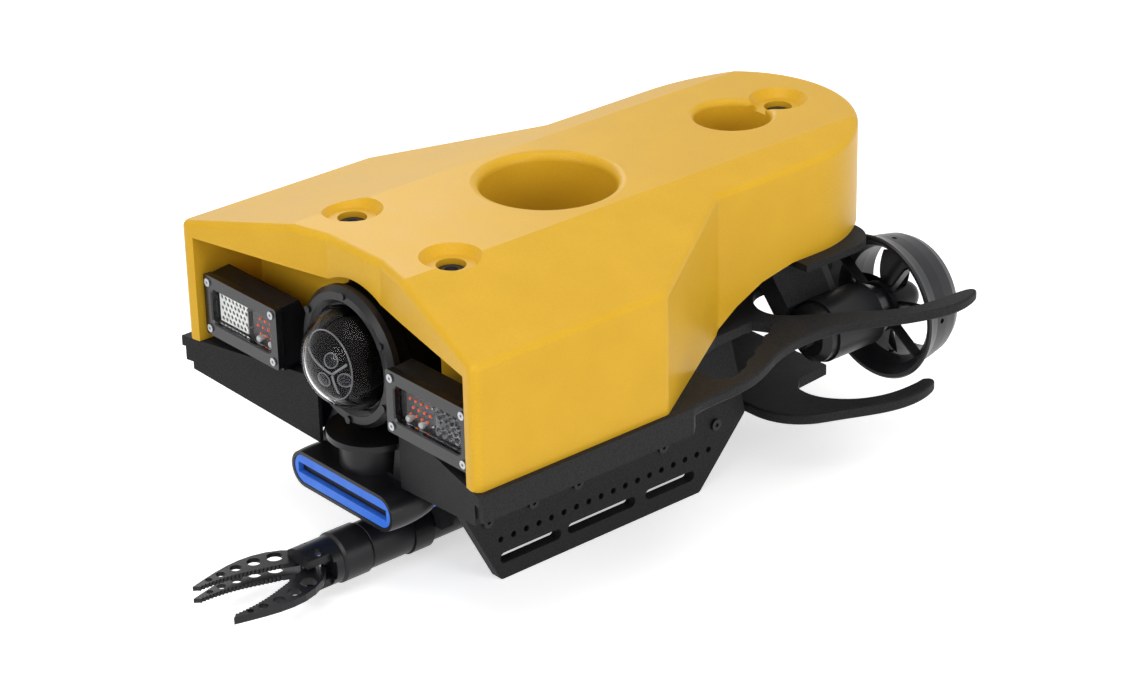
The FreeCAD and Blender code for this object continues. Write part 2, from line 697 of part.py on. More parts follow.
def make_camera():
    """Camera bottle, clamp ring, dome and the tilting camera inside them."""
    at = {"y": "camera_y", "z": "camera_z"}
    bottle = new_body("camera_bottle", **at)
    revolve(bottle, [
        ("seat_gap", "dome_r - 1"), ("seat_gap", f"{RING_R} - 3"), ("12", f"{RING_R} - 3"), ("16", BOTTLE_R),
        ("camera_back - camera_y", BOTTLE_R), ("camera_back - camera_y", "0"),
        ("camera_back - camera_y - 8", "0"), ("camera_back - camera_y - 8", f"{BOTTLE_R} - bottle_wall"),
        ("10", f"{BOTTLE_R} - bottle_wall"), ("10", "dome_r - 1"),
    ])
    clamp = new_body("camera_ring", **at)
    revolve(clamp, [
        ("-ring_thick", "dome_r + 5"), ("-ring_thick", f"{RING_R} - 4"), ("-ring_thick + 4", RING_R),
        ("seat_gap / 2", RING_R), ("seat_gap / 2", "dome_r + 4.2"), ("-3.2", "dome_r + 4.2"),
        ("-3.2", "dome_r + 1"), ("-5", "dome_r + 1"),
    ])
    holes = sketch_on(clamp, "XZ_Plane")
    for number in range(6):
        turn = math.radians(30 + 60 * number)
        across, up = (f"{part:.6f} * ({RING_R} - 5)" for part in (math.cos(turn), math.sin(turn)))
        ring(holes, across, up, "2")
    cut(clamp, holes, "60", both=True)

    radius, wall = size("dome_r"), size("dome_wall")
    shell = Part.makeSphere(radius).cut(Part.makeSphere(radius - wall))
    shell = shell.cut(Part.makeBox(200, 200, 200, V(-100, 0, -100)))
    flange = cylinder(radius + 3.8, 3, (0, -3, 0), (0, 1, 0))
    flange = flange.cut(cylinder(radius - wall, 3, (0, -3, 0), (0, 1, 0)))
    shell = shell.fuse(flange.cut(Part.makeSphere(radius - 1))).removeSplitter()
    dome = shaped("camera_dome", shell, y="camera_y", z="camera_z")

    solids = []
    for number in range(6):
        turn = math.radians(30 + 60 * number)
        reach = size(RING_R) - 5
        spot = (reach * math.cos(turn), -size("ring_thick") - 1.6, reach * math.sin(turn))
        head = cylinder(3, 1.5, spot, (0, 1, 0))
        solids.append(head.fuse(cylinder(1.8, size("ring_thick") + 1.4, spot, (0, 1, 0))))
    screws = shaped("camera_ring_screws", Part.makeCompound(solids), y="camera_y", z="camera_z")

    head_r = size("head_r")
    ball = Part.makeSphere(head_r).common(Part.makeBox(46, 80, 80, V(-23, -40, -40)))
    ball = ball.cut(Part.makeBox(80, 40, 80, V(-40, 13, -40)))
    ball = ball.cut(cylinder(13, 40, (0, -40, 0), (0, 1, 0)))
    for direction in (1, -1):
        pin = cylinder(size("trunnion_r"), 12, (direction * 20, 0, 0), (direction, 0, 0))
        ball = ball.fuse(pin)
    cradle = shaped("camera_cradle", ball, y="camera_y", z="camera_z")

    lens = new_body("camera_lens", **at)
    revolve(lens, [("-33", "0"), ("-33", "5"), ("-35", "6"), ("-35", "12.5"), ("-0.2", "12.5"), ("-0.2", "0")])

    yoke_pieces = []
    for direction in (1, -1):
        ear = Part.makeBox(5, 62, 16, V(26 if direction > 0 else -31, -9, -8))
        hole = cylinder(size("trunnion_r") + size("run_gap"), 20, (direction * 22, 0, 0), (direction, 0, 0))
        ear = ear.cut(hole)
        yoke_pieces.append(ear)
    back = Part.makeBox(84, 12, 26, V(-42, 50, -13))
    servo = Part.makeBox(40, 26, 20, V(-20, 62, -10))
    yoke_shape = back.fuse(yoke_pieces + [servo]).removeSplitter()
    yoke = shaped("camera_yoke", yoke_shape, y="camera_y", z="camera_z")
    return [bottle, clamp, dome, screws, cradle, lens, yoke]


# ---------------------------------------------------------------- sonar

def stadium(half_wide, low, high, y):
    """A flat face with round ends, across the vehicle at a given y."""
    radius = (high - low) / 2
    middle_z = (high + low) / 2
    reach = half_wide - radius
    top = Part.makeLine(V(-reach, y, high), V(reach, y, high))
    right = Part.Arc(V(reach, y, high), V(half_wide, y, middle_z), V(reach, y, low)).toShape()
    under = Part.makeLine(V(reach, y, low), V(-reach, y, low))
    left = Part.Arc(V(-reach, y, low), V(-half_wide, y, middle_z), V(-reach, y, high)).toShape()
    return Part.Wire([top, right, under, left])


def make_sonar():
    """Imaging sonar: flared black head with a slot face, a round visor above it and a blue body."""
    half, low, brow = size("sonar_half"), -size("sonar_low"), -size("sonar_brow")
    front, back, top = size("sonar_face_y"), size("sonar_back"), -size("sonar_top")
    lip = Part.makeLoft([stadium(half, low, brow, front), stadium(half, low, brow, front + 30),
                         stadium(half - 3, low + 1, brow - 1, back)], True, False)
    shoulder = Part.makeLoft([
        wire([(-half + 3, 36, brow - 4), (half - 3, 36, brow - 4), (44, 40, top), (-44, 40, top)]),
        wire([(-half + 3, back, brow - 4), (half - 3, back, brow - 4), (44, back, top), (-44, back, top)]),
    ], True, True)
    visor_r, visor_y = size("visor_r"), size("visor_y")
    visor = cylinder(visor_r, 5, (0, visor_y, top - 5), (0, 0, 1))
    visor = visor.common(Part.makeBox(200, back, 40, V(-100, 0, top - 20)))
    drum = cylinder(visor_r - 9, top - brow, (0, visor_y, brow - 2), (0, 0, 1))
    drum = drum.common(Part.makeBox(200, back, 60, V(-100, 0, brow - 10)))
    cave = cylinder(visor_r - 2, top - 5 - brow - 3, (0, visor_y, brow + 3), (0, 0, 1))
    head = lip.fuse([shoulder, visor]).cut(cave).fuse(drum).removeSplitter()
    recess = Part.Face(stadium(half - 3, low + 3, brow - 3, front)).extrude(V(0, 9, 0))
    head = head.cut(recess)
    head_piece = shaped("sonar_head", head)

    face = Part.Face(stadium(half - 3.3, low + 3.3, brow - 3.3, front + 0.5)).extrude(V(0, 8, 0))
    slot = Part.makeBox(2 * (half - 8), 8, 9, V(-(half - 8), front + 0.4, low + 10.5))
    face_piece = shaped("sonar_face", face.cut(slot))
    window = Part.makeBox(2 * (half - 8) - 0.6, 3, 8.4, V(-(half - 8.3), front + 5, low + 10.8))
    window_piece = shaped("sonar_window", window)

    blue = new_body("sonar_body")
    shell = sketch_on(blue, "XZ_Plane", "-(sonar_back + seat_gap)")
    outline(shell, box_points("-54", "54", "-(sonar_low - 1)", "-(sonar_top + 2)"))
    pad(blue, shell, "blue_back - sonar_back", against=True)
    soften(blue, "10", lambda edge: along(edge, (0, 1, 0)))
    hanger = new_body("sonar_bracket")
    foot = sketch_on(hanger, "XY_Plane", "-(sonar_top + 2)")
    outline(foot, box_points("-62", "62", "78", "112"))
    pad(hanger, foot, "sonar_top + 2 - plate_thick")
    relief = sketch_on(hanger, "XZ_Plane")
    ring(relief, "0", "camera_z", f"{BOTTLE_R} + seat_gap")
    cut(hanger, relief, "400", both=True)
    return [head_piece, face_piece, window_piece, blue, hanger]


# ---------------------------------------------------------------- gripper

def jaw_outline(length, root, teeth):
    """The plan of one blade: a curved back, a long point and a row of fine teeth on the inner edge.

    The blade starts at its pivot at the origin and points to -y, with its back towards +x.
    """
    back = []
    steps = 9
    for number in range(steps):
        share = number / (steps - 1)
        bulge = math.sin(math.pi * share ** 0.8) * 0.16 * length
        back.append((root * (1 - share) + 1.2 * share + bulge, -length * share))
    inner = []
    for number in range(teeth):
        share = 1 - (number + 0.5) / teeth
        curve = math.sin(math.pi * share ** 0.7) * 0.075 * length
        base_x = -root * (1 - share) * 0.45 - 1.0 * share + curve * share
        y = -length * (0.20 + 0.76 * share)
        inner.append((base_x, y - length * 0.38 / teeth))
        inner.append((base_x - 1.3, y))
    heel = [(-root * 0.9, -length * 0.12), (-root, 0), (-root * 0.5, root * 0.65), (root * 0.4, root * 0.65)]
    return back + inner + heel


def make_blade(thick, low, side):
    """One jaw blade with its row of shrinking holes, as a plate from low to low + thick."""
    length = size("jaw_len")
    points = [(side * x, y, low) for x, y in jaw_outline(length, 8.0, 22)]
    blade = prism(points, (0, 0, thick))
    for share, radius in ((0.22, 6.6), (0.40, 5.6), (0.57, 4.6), (0.72, 3.7), (0.84, 2.7)):
        middle_x = math.sin(math.pi * share ** 0.8) * 0.105 * length + 8.0 * (1 - share) * 0.2
        blade = blade.cut(cylinder(radius, thick, (side * middle_x, -length * share, low), (0, 0, 1)))
    return blade.cut(cylinder(3.0 + size("run_gap"), thick, (0, 0, low), (0, 0, 1)))


def make_gripper():
    """Electric gripper: barrel, turning wrist, forked head, two jaws, their pins and push rod."""
    at = {"z": "-grip_z"}
    barrel = new_body("gripper_barrel", **at)
    revolve(barrel, [
        ("7.3", "4.2"), ("7.3", "spindle_r"), ("26", "spindle_r"), ("26", "barrel_r - 1"), ("27", "barrel_r"),
        ("66", "barrel_r"), ("66", "grip_r"), ("84", "grip_r"), ("84", "barrel_r - 1.5"),
        ("barrel_end - 6", "barrel_r - 1.5"), ("barrel_end", "barrel_r - 6"), ("barrel_end", "0"), ("36", "0"),
        ("36", "4.2"),
    ])
    wrist = new_body("wrist_collar", **at)
    revolve(wrist, [
        ("-2", "rod_r + run_gap"), ("-2", "grip_r - 3"), ("1", "grip_r"), ("24", "grip_r"),
        ("25.7", "grip_r - 1.5"), ("25.7", "spindle_r + run_gap"), ("7", "spindle_r + run_gap"),
        ("7", "rod_r + run_gap"),
    ])
    fork = cylinder(size("grip_r") - 1.5, 30, (0, -32, 0), (0, 1, 0))
    fork = fork.cut(Part.makeBox(60, 24, 15, V(-30, -33, -7.5)))
    for side in (1, -1):
        fork = fork.cut(Part.makeBox(10, 22, 60, V(side * 13 if side > 0 else -23, -33, -30)))
        for top in (1, -1):
            fork = fork.cut(cylinder(3.0, 20, (side * size("clevis_pin_x"), -size("clevis_pin_y"), top * 7),
                                     (0, 0, top)))
    fork = fork.cut(cylinder(4.2, 60, (0, -33, 0), (0, 1, 0)))
    clevis = shaped("clevis_head", fork, z="-grip_z")
    rod_shape = cylinder(size("rod_r"), 33, (0, -11, 0), (0, 1, 0))
    rod = shaped("push_rod", rod_shape, z="-grip_z")

    thick = size("jaw_thick")
    open_turn = 10
    jaws = []
    pins = []
    for side, name in ((1, "port_jaw"), (-1, "starboard_jaw")):
        if side > 0:
            shape = make_blade(thick, -thick / 2, side)
        else:
            upper = make_blade(3.6, thick / 2 + 0.4, side)
            lower = make_blade(3.6, -thick / 2 - 4.0, side)
            shape = Part.makeCompound([upper, lower])
        shape.rotate(V(0, 0, 0), V(0, 0, 1), side * open_turn)
        shape.translate(V(side * size("clevis_pin_x"), -size("clevis_pin_y"), 0))
        jaw = shaped(name, shape, z="-grip_z")
        jaws.append(jaw)
        pins.append(cylinder(2.99, 30, (side * size("clevis_pin_x"), -size("clevis_pin_y"), -15), (0, 0, 1)))
    pin_piece = shaped("jaw_pins", Part.makeCompound(pins), z="-grip_z")

    clamp_solids = []
    for y in (92, 132):
        block = Part.makeBox(52, 12, 24, V(-26, y - 6, size("grip_z") - size("lower_mid")
                                           - size("lower_thick") / 2 - 24))
        block = block.cut(cylinder(size("barrel_r") - 1.5 + 0.05, 20, (0, y - 10, 0), (0, 1, 0)))
        clamp_solids.append(block)
    clamps = shaped("gripper_clamps", Part.makeCompound(clamp_solids), z="-grip_z")
    return [barrel, wrist, clevis, rod] + jaws + [pin_piece, clamps]


# ---------------------------------------------------------------- thrusters

def blade_skin(root_r, tip_r, hand, side):
    """One face of a twisted blade as a smooth skin through rows of points, bent round the y axis."""
    count = 5
    rows = []
    for row in range(count):
        share = row / (count - 1)
        radius = root_r + (tip_r - root_r) * share
        chord = (0.36 + 0.2 * math.sin(math.pi * min(1, share * 0.75 + 0.1))) * tip_r
        turn = math.radians(62 - 36 * share) * hand
        half_thick = (3.0 - 1.7 * share) / 2
        points = []
        for column in range(count):
            spot = 2 * column / (count - 1) - 1
            forward = chord / 2 * spot
            across = half_thick * (0.35 + 0.65 * (1 - spot * spot)) * side
            around = (forward * math.cos(turn) - across * math.sin(turn)) / radius
            lengthwise = forward * math.sin(turn) + across * math.cos(turn)
            points.append(V(radius * math.sin(around), lengthwise, radius * math.cos(around)))
        rows.append(points)
    surface = Part.BSplineSurface()
    surface.interpolate(rows)
    return surface


def blade_solid(root_r, tip_r, hand):
    """A blade closed from its two skins and the four strips between their edges."""
    front, back = (blade_skin(root_r, tip_r, hand, side) for side in (1, -1))
    faces = [front.toShape(), back.toShape()]
    for read in (lambda skin: skin.uIso(0), lambda skin: skin.uIso(1),
                 lambda skin: skin.vIso(0), lambda skin: skin.vIso(1)):
        faces.append(Part.makeRuledSurface(read(front).toShape(), read(back).toShape()))
    shell = Part.makeShell(faces)
    shell.sewShape()
    solid = Part.makeSolid(shell)
    if solid.Volume < 0:
        solid.reverse()
    solid.fix(1e-4, 1e-4, 1e-3)
    return solid


def propeller_shape(blades, hub_r, hub_len, tip_r, middle_y, hand):
    """A hub with a round nose and twisted blades, turned about the y axis."""
    blade = blade_solid(hub_r - 2.5, tip_r, hand)
    blade.translate(V(0, middle_y, 0))
    hub = cylinder(hub_r, hub_len, (0, middle_y - hub_len / 2, 0), (0, 1, 0))
    nose = Part.makeSphere(hub_r, V(0, middle_y + hub_len / 2, 0)).common(
        Part.makeBox(60, 40, 60, V(-30, middle_y + hub_len / 2, -30)))
    whole = [nose]
    for number in range(blades):
        one = blade.copy()
        one.rotate(V(0, 0, 0), V(0, 1, 0), 360 * number / blades)
        whole.append(one)
    return hub.fuse(whole)


def make_thruster(side):
    """One rear thruster: strut, motor pod, stator, nozzle and propeller on the pod's shaft."""
    name = "port" if side > 0 else "starboard"
    at = {"x": "thruster_x" if side > 0 else "-thruster_x", "z": "-thruster_z"}
    pod_r = size("pod_r")

    strut_inner, strut_outer = size("strut_inner"), size("strut_outer")
    low_z, high_z = -size("thruster_z"), size("tail_lift") - size("deck_thick")
    low, high = min(side * strut_inner, side * strut_outer), strut_outer - strut_inner
    profile = [(low, 372, high_z), (low, 404, low_z), (low, 461, low_z), (low, 436, high_z)]
    strut = prism(profile, (high, 0, 0))
    bevel = 9
    edge = side * strut_outer
    cutter = prism([
        (edge + side * 1, 437 - 16, high_z + 1), (edge - side * bevel, 437, high_z + 1),
        (edge + side * 1, 437 + 12, high_z + 1),
    ], (0, 27, low_z - high_z))
    strut = strut.cut(cutter)
    strut = strut.cut(cylinder(pod_r + 0.05, 200, (side * size("thruster_x"), 350, low_z), (0, 1, 0)))
    strut_piece = shaped(f"{name}_thruster_strut", strut)

    pod = new_body(f"{name}_motor_pod", **at)
    revolve(pod, [
        ("pod_start", "0"), ("pod_start", "pod_r - 8"), ("pod_start + 5", "pod_r - 2"),
        ("pod_start + 12", "pod_r - 2"), ("pod_start + 12", "pod_r"), ("pod_end", "pod_r"),
        ("nozzle_y + 6", "hub_r + 3"), ("nozzle_y + 10", "hub_r + 1.5"), ("nozzle_y + 10", "shaft_r"),
        ("nozzle_y + 32", "shaft_r"), ("nozzle_y + 32", "0"),
    ])

    nozzle = new_body(f"{name}_nozzle", **at)
    revolve(nozzle, [
        ("nozzle_y", "nozzle_lip_r - 4"), ("nozzle_y", "nozzle_lip_r - 1.2"), ("nozzle_y + 1.5", "nozzle_lip_r"),
        ("nozzle_y + 6", "nozzle_lip_r - 2.2"), ("nozzle_y + 14", "nozzle_lip_r - 5.4"),
        ("nozzle_y + 26", "nozzle_lip_r - 7"), ("nozzle_y + 38", "nozzle_lip_r - 9.4"),
        ("nozzle_y + nozzle_len", "nozzle_tail_r"), ("nozzle_y + nozzle_len", "nozzle_tail_r - 2"),
        ("nozzle_y + 30", "nozzle_bore + 0.6"), ("nozzle_y + 18", "nozzle_bore + 1.2"),
        ("nozzle_y + 8", "nozzle_bore + 5.5"),
    ])
    radial = sketch_on(nozzle, "XY_Plane")
    ring(radial, "0", "nozzle_y + 20", "2.2")
    holes = cut(nozzle, radial, "100", against=True)
    fan = nozzle.newObject("PartDesign::PolarPattern", "Fan")
    fan.Originals = [holes]
    fan.Axis = (origin_item(nozzle, "Y_Axis"), [""])
    fan.Angle = 360
    fan.Occurrences = 4
    nozzle.Tip = fan

    y, hub_r = size("nozzle_y"), size("hub_r")
    slope = (size("pod_r") - hub_r - 3) / (y + 6 - size("pod_end"))
    hub = cylinder(hub_r + 8, 5, (0, y + 1, 0), (0, 1, 0))
    lip = size("nozzle_bore") + 7
    stator = hub
    for number in range(4):
        vane = Part.makeBox(1.8, 9, lip - hub_r - 2, V(-0.9, y + 1, hub_r + 2))
        vane.rotate(V(0, 0, 0), V(0, 1, 0), 35 + 90 * number)
        stator = stator.fuse(vane)
    seat_r = hub_r + 3.05
    bore = Part.makeCone(seat_r + 6 * slope, seat_r, 6, V(0, y, 0), V(0, 1, 0))
    bore = bore.fuse(cylinder(seat_r, 8, (0, y + 5.9, 0), (0, 1, 0)))
    stator = stator.cut(bore)
    outer = Part.makeCone(size("nozzle_lip_r") - 4.6, size("nozzle_bore") + 4.6, 9, V(0, y, 0), V(0, 1, 0))
    limit = outer.fuse(cylinder(size("nozzle_bore") + 4.6, 8, (0, y + 9, 0), (0, 1, 0)))
    stator = stator.common(limit)
    stator_piece = shaped(f"{name}_stator", stator, **at)

    prop = propeller_shape(4, hub_r, 21, size("blade_r"), y + 21.5, side)
    bore = cylinder(size("shaft_r") + size("run_gap"), 60, (0, y, 0), (0, 1, 0))
    blind_end = Part.makeBox(20, 60, 20, V(-10, y + 32.4, -10))
    prop_piece = shaped(f"{name}_propeller", prop.cut(bore.cut(blind_end)), **at)
    return [strut_piece, pod, nozzle, stator_piece, prop_piece]


def make_connectors():
    """Wet connectors on the noses of the two motor pods."""
    solids = []
    for side in (1, -1):
        x, y, z = side * size("thruster_x"), size("pod_start"), -size("thruster_z")
        plug = cylinder(9, 8, (x, y - 8, z), (0, 1, 0)).fuse(cylinder(7, 8, (x, y - 15, z), (0, 1, 0)))
        solids.append(plug)
    return shaped("pod_connectors", Part.makeCompound(solids))


def make_vertical():
    """The vertical thruster low in the middle well: carrier ring with vanes, motor and propeller."""
    y, bore = size("duct_y"), size("duct_r")
    carrier = cylinder(bore - 0.3, 34, (0, 0, 0), (0, 0, 1))
    carrier = carrier.cut(cylinder(bore - 4, 34, (0, 0, 0), (0, 0, 1)))
    for number in range(3):
        vane = Part.makeBox(2.4, bore - 18, 14, V(-1.2, 16, 2))
        vane.rotate(V(0, 0, 0), V(0, 0, 1), 120 * number)
        carrier = carrier.fuse(vane)
    carrier = carrier.fuse(cylinder(20, 14, (0, 0, 2), (0, 0, 1)))
    carrier = carrier.cut(cylinder(16.05, 30, (0, 0, 0), (0, 0, 1)))
    vanes = shaped("vertical_duct", carrier, y="duct_y")
    motor = new_body("vertical_motor", y="duct_y")
    revolve(motor, [("0", "1"), ("14", "1"), ("16", "3"), ("16", "19"), ("shaft_r", "19"), ("shaft_r", "36"),
                    ("0", "36")], axis="Z_Axis", plane="XZ_Plane")
    prop = propeller_shape(4, 12, 16, bore - 6, 0, 1)
    prop = prop.cut(cylinder(size("shaft_r") + size("run_gap"), 18, (0, -9, 0), (0, 1, 0)))
    prop.rotate(V(0, 0, 0), V(1, 0, 0), 90)
    prop.translate(V(0, 0, 30))
    prop_piece = shaped("vertical_propeller", prop, y="duct_y")
    return [vanes, motor, prop_piece]


# ---------------------------------------------------------------- electronics

def make_electronics():
    """The sealed can between the skids, its end caps and saddles, ballast and tether inlet."""
    at = {"z": "-bottle_z"}
    can = new_body("electronics_can", **at)
    revolve(can, [("can_start", "can_r - 4"), ("can_start", "can_r"), ("can_end", "can_r"),
                  ("can_end", "can_r - 4")])
    caps = []
    for start, way in (("can_start", -1), ("can_end", 1)):
        y = size(start)
        flange = cylinder(size("can_r") + 2, 7, (0, y + way * 0.2, 0), (0, way, 0))
        spigot = cylinder(size("can_r") - 4.1, 14, (0, y + way * 0.2, 0), (0, -way, 0))
        cap = flange.fuse(spigot)
        for turn in (0, 120, 240):
            a = math.radians(turn + 90)
            gland = cylinder(5, 9, (20 * math.cos(a), y + way * 7, 20 * math.sin(a)), (0, way, 0))
            cap = cap.fuse(gland)
        caps.append(cap)
    cap_piece = shaped("can_end_caps", Part.makeCompound(caps), **at)
    saddles = []
    top = size("bottle_z") - size("plate_thick")
    bottom = -(size("lower_mid") - size("lower_thick") / 2 - size("bottle_z"))
    for y in (162, 306):
        block = Part.makeBox(2 * size("skid_inner"), 12, top - bottom, V(-size("skid_inner"), y - 6, bottom))
        block = block.cut(cylinder(size("can_r") + 0.1, 20, (0, y - 10, 0), (0, 1, 0)))
        for side in (1, -1):
            block = block.cut(Part.makeBox(16, 20, 34, V(side * 52 - 8, y - 10, -17)))
        saddles.append(block)
    saddle_piece = shaped("can_saddles", Part.makeCompound(saddles), **at)

    ballast = []
    for side in (1, -1):
        x = side * 52 - 8
        bar = Part.makeBox(16, 108, 10, V(x, 188, -size("lower_mid") + size("lower_thick") / 2))
        ballast.append(bar)
    ballast_piece = shaped("ballast_bars", Part.makeCompound(ballast))

    inlet = new_body("tether_connector", y="well_y", z="tail_lift")
    revolve(inlet, [("0", "0"), ("16", "0"), ("16", "8"), ("12", "11"), ("12", "30"), ("9", "32"), ("9", "26"),
                    ("0", "26")], axis="Z_Axis", plane="XZ_Plane")
    return [can, cap_piece, saddle_piece, ballast_piece, inlet]


# ---------------------------------------------------------------- build

pieces = [make_float(), make_float_screws(), make_chassis(), make_chins(), make_tail_deck()]
pieces += [make_skid(1), make_skid(-1), make_lower_plate(), make_skid_screws()]
pieces += make_light(1) + make_light(-1) + [make_light_screws()]
pieces += make_camera() + make_sonar() + make_gripper()
pieces += make_thruster(1) + make_thruster(-1) + [make_connectors()]
pieces += make_vertical() + make_electronics()

doc.recompute()
broken = [item.Label for item in doc.Objects if {"Invalid", "Error"} & set(item.State)]
for piece in pieces:
    if piece.Shape.isNull() or not piece.Shape.isValid() or not piece.Shape.Solids:
        broken.append(piece.Label)
if broken:
    raise RuntimeError(f"nothing is written, because these failed: {broken}")

os.makedirs("parts", exist_ok=True)
for piece in pieces:
    piece.Shape.exportStep(f"parts/{piece.Label}.step")
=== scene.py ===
import math

import bmesh
import bpy
import numpy as np
from mathutils import Matrix, Vector


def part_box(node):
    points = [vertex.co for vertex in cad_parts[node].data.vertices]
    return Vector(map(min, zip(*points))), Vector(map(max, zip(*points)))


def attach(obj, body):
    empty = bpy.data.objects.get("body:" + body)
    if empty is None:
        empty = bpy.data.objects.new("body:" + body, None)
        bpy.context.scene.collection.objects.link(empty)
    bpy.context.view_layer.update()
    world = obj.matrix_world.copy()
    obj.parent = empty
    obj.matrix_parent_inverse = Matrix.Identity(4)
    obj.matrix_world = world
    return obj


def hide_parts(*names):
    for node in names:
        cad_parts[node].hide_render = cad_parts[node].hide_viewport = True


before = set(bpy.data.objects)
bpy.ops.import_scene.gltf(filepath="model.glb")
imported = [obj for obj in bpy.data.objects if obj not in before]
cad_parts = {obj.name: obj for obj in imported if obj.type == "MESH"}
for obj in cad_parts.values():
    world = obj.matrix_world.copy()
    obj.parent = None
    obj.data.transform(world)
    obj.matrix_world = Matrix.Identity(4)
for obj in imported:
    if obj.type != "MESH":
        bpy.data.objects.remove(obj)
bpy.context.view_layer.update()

scene = bpy.context.scene


# ---------------------------------------------------------------- materials

def srgb(code):
    """A six-digit sRGB hex colour as linear red, green, blue and alpha."""
    parts = [int(code[i:i + 2], 16) / 255 for i in (0, 2, 4)]
    return tuple(c / 12.92 if c <= 0.04045 else ((c + 0.055) / 1.055) ** 2.4 for c in parts) + (1.0,)


def add(material, kind, links=None, **settings):
    """Adds one shader node: settings are its properties or input values, links its inputs' sources."""
    made = material.node_tree.nodes.new(kind)
    for name, value in settings.items():
        if hasattr(made, name):
            setattr(made, name, value)
        else:
            made.inputs[name.replace("_", " ")].default_value = value
    for name, socket in (links or {}).items():
        target = made.inputs[name] if isinstance(name, int) else made.inputs[name.replace("_", " ")]
        material.node_tree.links.new(socket, target)
    return made


def blank(name):
    """A new material with an empty tree and its output node."""
    material = bpy.data.materials.new(name)
    material.use_nodes = True
    material.node_tree.nodes.clear()
    return material, add(material, "ShaderNodeOutputMaterial")


def grained(name, dark, light, rough, grain_mm, bump=0.1, depth_mm=0.05, metallic=0.0, speckle=0.5,
            stretch=(1, 1, 1), rough_span=0.08, **shader_settings):
    """A surface whose colour wanders between two tones, with grain of a real size raised as bump.

    The grain is noise at one cell per grain_mm; a slow noise thirty times larger carries handling marks.
    """
    material, out = blank(name)
    place = add(material, "ShaderNodeTexCoord")
    spun = add(material, "ShaderNodeMapping", {"Vector": place.outputs["Object"]}, Scale=stretch)
    fine = add(material, "ShaderNodeTexNoise", {"Vector": spun.outputs[0]},
               Scale=1000 / grain_mm, Detail=3.0, Roughness=0.6)
    broad = add(material, "ShaderNodeTexNoise", {"Vector": place.outputs["Object"]},
                Scale=1000 / (grain_mm * 30), Detail=4.0)
    both = add(material, "ShaderNodeMix", {2: fine.outputs[0], 3: broad.outputs[0]}, data_type="FLOAT")
    both.inputs[0].default_value = 1 - speckle
    tone = add(material, "ShaderNodeValToRGB", {"Fac": both.outputs[0]})
    tone.color_ramp.elements[0].position = 0.35
    tone.color_ramp.elements[0].color = srgb(dark)
    tone.color_ramp.elements[1].position = 0.65
    tone.color_ramp.elements[1].color = srgb(light)
    shine = add(material, "ShaderNodeMapRange", {"Value": broad.outputs[0]})
    shine.inputs["To Min"].default_value = rough - rough_span
    shine.inputs["To Max"].default_value = rough + rough_span
    raised = add(material, "ShaderNodeBump", {"Height": fine.outputs[0]},
                 Strength=bump, Distance=depth_mm / 1000)
    shader = add(material, "ShaderNodeBsdfPrincipled", {
        "Base Color": tone.outputs[0], "Roughness": shine.outputs[0], "Normal": raised.outputs[0]})
    shader.inputs["Metallic"].default_value = metallic
    for key, value in shader_settings.items():
        shader.inputs[key.replace("_", " ")].default_value = value
    material.node_tree.links.new(shader.outputs[0], out.inputs["Surface"])
    return material


def clear(name, ior, rough):
    """Clear cast plastic with faint swirls in its polish."""
    material, out = blank(name)
    place = add(material, "ShaderNodeTexCoord")
    swirl = add(material, "ShaderNodeTexNoise", {"Vector": place.outputs["Object"]}, Scale=60.0, Detail=3.0)
    polish = add(material, "ShaderNodeMapRange", {"Value": swirl.outputs[0]})
    polish.inputs["To Min"].default_value = rough * 0.5
    polish.inputs["To Max"].default_value = rough * 1.5
    shader = add(material, "ShaderNodeBsdfPrincipled", {"Roughness": polish.outputs[0]})
    shader.inputs["Base Color"].default_value = srgb("FFFFFF")
    shader.inputs["Transmission Weight"].default_value = 1.0
    shader.inputs["IOR"].default_value = ior
    material.node_tree.links.new(shader.outputs[0], out.inputs["Surface"])
    return material


# painted syntactic foam: satin, warm yellow, with the fine orange peel of a sprayed coat
foam_paint = grained("painted_foam", "D6A524", "DFAF2E", 0.36, 1.3, bump=0.25, speckle=0.6,
                     Specular_IOR_Level=0.18)
# routed black polyethylene sheet: matt, with the dull mottling of a skimmed surface
polyethylene = grained("black_polyethylene", "141415", "28282A", 0.6, 1.1, bump=0.6, depth_mm=0.16,
                       speckle=0.85, Specular_IOR_Level=0.16)
# moulded black acetal: smoother and a little glossier than the sheet
acetal = grained("black_acetal", "0D0D0F", "17171A", 0.36, 0.8, bump=0.2, depth_mm=0.04,
                 Specular_IOR_Level=0.3)
# black anodised aluminium: satin, its dyed oxide layer dark grey where light rakes over it
black_anodised = grained("black_anodised", "0F0F11", "1A1B1D", 0.36, 0.7, bump=0.15, depth_mm=0.03,
                         Specular_IOR_Level=0.3)
# lamp bezels: the same anodising polished, which mirrors the bright floor softly
bezel_anodised = grained("polished_black_anodised", "101012", "18191B", 0.2, 0.7, bump=0.08, depth_mm=0.02,
                         rough_span=0.04)
# nozzle of dark grey polymer, moulded: satin, so that broad soft lights run round it
nozzle_polymer = grained("satin_polymer", "1B1C1E", "2A2B2E", 0.34, 0.9, bump=0.2, depth_mm=0.04,
                         Specular_IOR_Level=0.3)
# blue anodised aluminium: a strong even blue, close to matt
blue_anodised = grained("blue_anodised", "2F6FE4", "4A88F2", 0.4, 0.6, bump=0.1, depth_mm=0.02,
                        Specular_IOR_Level=0.25)
# stainless steel, turned: pale, with fine drawn streaks
stainless = grained("stainless_steel", "8E9196", "C6C8CB", 0.26, 0.8, bump=0.2, depth_mm=0.02,
                    metallic=1.0, stretch=(1, 1, 6))
# bare machined aluminium: bright grey, with the tool's marks across it
machined = grained("machined_aluminium", "9B9EA3", "C9CBCE", 0.34, 0.8, bump=0.2, depth_mm=0.02,
                   metallic=1.0, stretch=(1, 6, 1))
